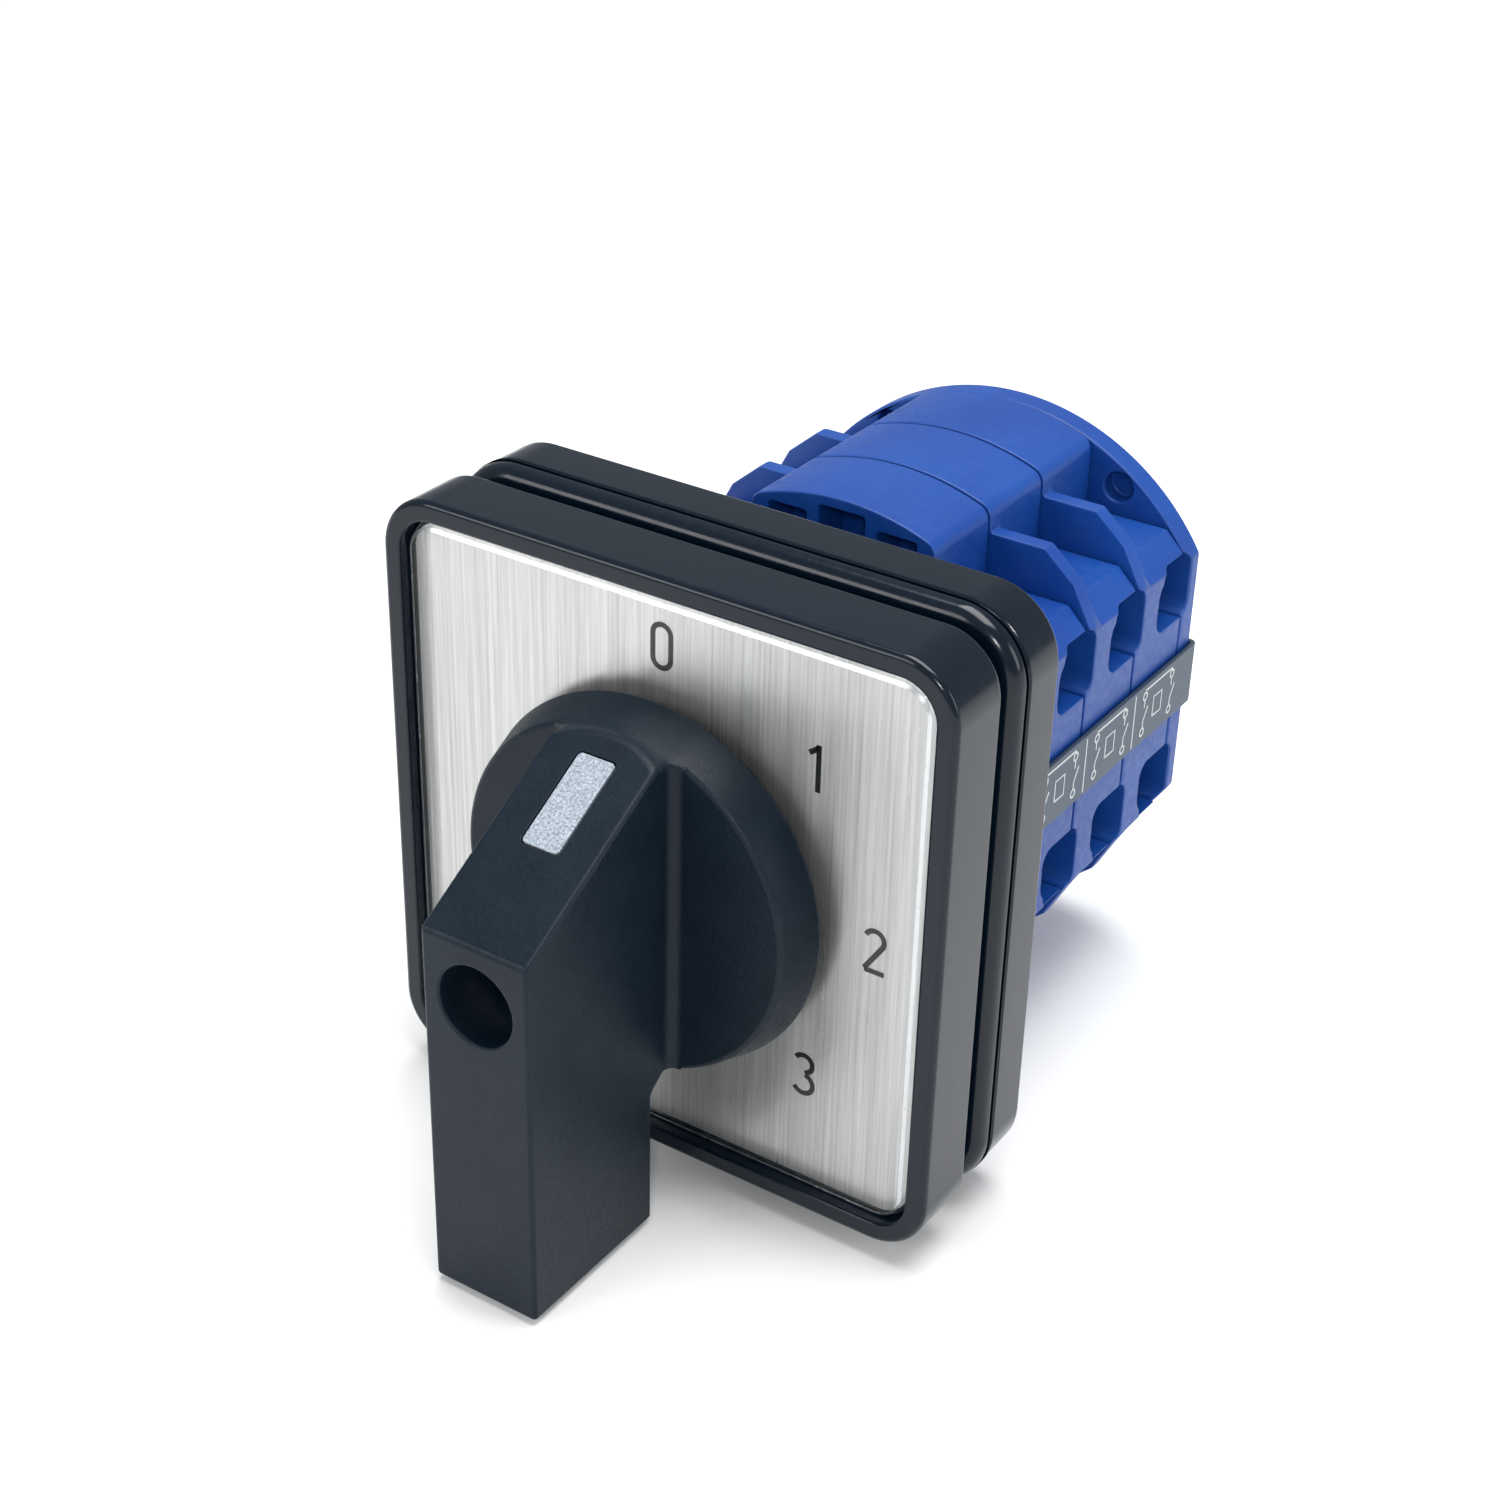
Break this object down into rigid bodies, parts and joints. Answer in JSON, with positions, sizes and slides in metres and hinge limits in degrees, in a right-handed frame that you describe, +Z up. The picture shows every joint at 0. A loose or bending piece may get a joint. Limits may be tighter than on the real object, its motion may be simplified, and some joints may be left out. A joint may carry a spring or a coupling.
{
  "type": "rotary cam switch",
  "caption": "Panel-mounted rotary cam switch: square black front frame with brushed label plate, black lever handle, and stacked blue contact stages with side wire ports.",
  "frame": {"origin": "on the switch's turning axis, in the plane of the panel's front face, which is the rear face of the front frame", "axes": "+Y along the turning axis towards the contact stages; the handle is at -Y; +Z is up, towards the position marked 0; +X is right seen from the front"},
  "size_m": [0.064, 0.0978, 0.0656],
  "materials": {
    "handle_plastic": "fine spark-eroded texture",
    "black_satin": "satin moulded",
    "clear_cover": "clear polished acrylic",
    "label_plate": "brushed vertically",
    "pointer_insert": "speckled silver",
    "gasket": "matte",
    "blue_plastic": "satin moulded",
    "strip_metal": "printed grey sheet metal",
    "ivory_plastic": "moulded",
    "steel": "zinc plated",
    "brass": "tinned brass",
    "contact_silver": "silver alloy on copper"
  },
  "bodies": {
    "base": {"front_frame": "black_satin", "clear_cover": "clear_cover", "label_plate": "label_plate", "panel_gasket": "gasket", "rear_flange": "black_satin", "index_housing": "black_satin", "stage_housing_1": "blue_plastic", "stage_housing_2": "blue_plastic", "stage_housing_3": "blue_plastic", "end_plate": "blue_plastic", "diagram_strip": "strip_metal", "tie_bolt_1": "steel", "tie_bolt_2": "steel", "panel_screw_1": "steel", "panel_screw_2": "steel", "panel_screw_3": "steel", "panel_screw_4": "steel", "index_spring_upper": "steel", "index_spring_lower": "steel", "contact_spring_1_right": "steel", "terminal_1_right_upper": "brass", "terminal_1_right_lower": "brass", "contact_spring_1_left": "steel", "terminal_1_left_upper": "brass", "terminal_1_left_lower": "brass", "contact_spring_2_right": "steel", "terminal_2_right_upper": "brass", "terminal_2_right_lower": "brass", "contact_spring_2_left": "steel", "terminal_2_left_upper": "brass", "terminal_2_left_lower": "brass", "contact_spring_3_right": "steel", "terminal_3_right_upper": "brass", "terminal_3_right_lower": "brass", "contact_spring_3_left": "steel", "terminal_3_left_upper": "brass", "terminal_3_left_lower": "brass"},
    "rotor": {"handle": "handle_plastic", "pointer_insert": "pointer_insert", "handle_screw": "steel", "drive_shaft": "steel", "index_wheel": "ivory_plastic", "stop_plate": "steel", "cam_1": "ivory_plastic", "cam_2": "ivory_plastic", "cam_3": "ivory_plastic"},
    "index_follower_upper": {"index_plunger_upper": "ivory_plastic"},
    "index_follower_lower": {"index_plunger_lower": "ivory_plastic"},
    "contact_1_right": {"contact_plunger_1_right": "ivory_plastic", "contact_bridge_1_right": "contact_silver"},
    "contact_1_left": {"contact_plunger_1_left": "ivory_plastic", "contact_bridge_1_left": "contact_silver"},
    "contact_2_right": {"contact_plunger_2_right": "ivory_plastic", "contact_bridge_2_right": "contact_silver"},
    "contact_2_left": {"contact_plunger_2_left": "ivory_plastic", "contact_bridge_2_left": "contact_silver"},
    "contact_3_right": {"contact_plunger_3_right": "ivory_plastic", "contact_bridge_3_right": "contact_silver"},
    "contact_3_left": {"contact_plunger_3_left": "ivory_plastic", "contact_bridge_3_left": "contact_silver"}
  },
  "joints": [
    {"name": "handle_turn", "type": "hinge", "parent": "base", "child": "rotor", "pos_m": [0, 0, 0], "axis": [0, 1, 0], "range_deg": [0, 135]},
    {"name": "index_follower_upper_lift", "type": "slide", "parent": "base", "child": "index_follower_upper", "axis": [0, 0, 1], "range_m": [0, 0.0012], "stiffness_N_per_m": 1500, "springref_m": -0.002, "deforming": ["index_spring_upper"]},
    {"name": "index_follower_lower_lift", "type": "slide", "parent": "base", "child": "index_follower_lower", "axis": [0, 0, -1], "range_m": [0, 0.0012], "stiffness_N_per_m": 1500, "springref_m": -0.002, "deforming": ["index_spring_lower"]},
    {"name": "contact_1_right_lift", "type": "slide", "parent": "base", "child": "contact_1_right", "axis": [1, 0, 0], "range_m": [0, 0.0015], "stiffness_N_per_m": 600, "springref_m": -0.003, "deforming": ["contact_spring_1_right"]},
    {"name": "contact_1_left_lift", "type": "slide", "parent": "base", "child": "contact_1_left", "axis": [-1, 0, 0], "range_m": [0, 0.0015], "stiffness_N_per_m": 600, "springref_m": -0.003, "deforming": ["contact_spring_1_left"]},
    {"name": "contact_2_right_lift", "type": "slide", "parent": "base", "child": "contact_2_right", "axis": [1, 0, 0], "range_m": [0, 0.0015], "stiffness_N_per_m": 600, "springref_m": -0.003, "deforming": ["contact_spring_2_right"]},
    {"name": "contact_2_left_lift", "type": "slide", "parent": "base", "child": "contact_2_left", "axis": [-1, 0, 0], "range_m": [0, 0.0015], "stiffness_N_per_m": 600, "springref_m": -0.003, "deforming": ["contact_spring_2_left"]},
    {"name": "contact_3_right_lift", "type": "slide", "parent": "base", "child": "contact_3_right", "axis": [1, 0, 0], "range_m": [0, 0.0015], "stiffness_N_per_m": 600, "springref_m": -0.003, "deforming": ["contact_spring_3_right"]},
    {"name": "contact_3_left_lift", "type": "slide", "parent": "base", "child": "contact_3_left", "axis": [-1, 0, 0], "range_m": [0, 0.0015], "stiffness_N_per_m": 600, "springref_m": -0.003, "deforming": ["contact_spring_3_left"]}
  ]
}
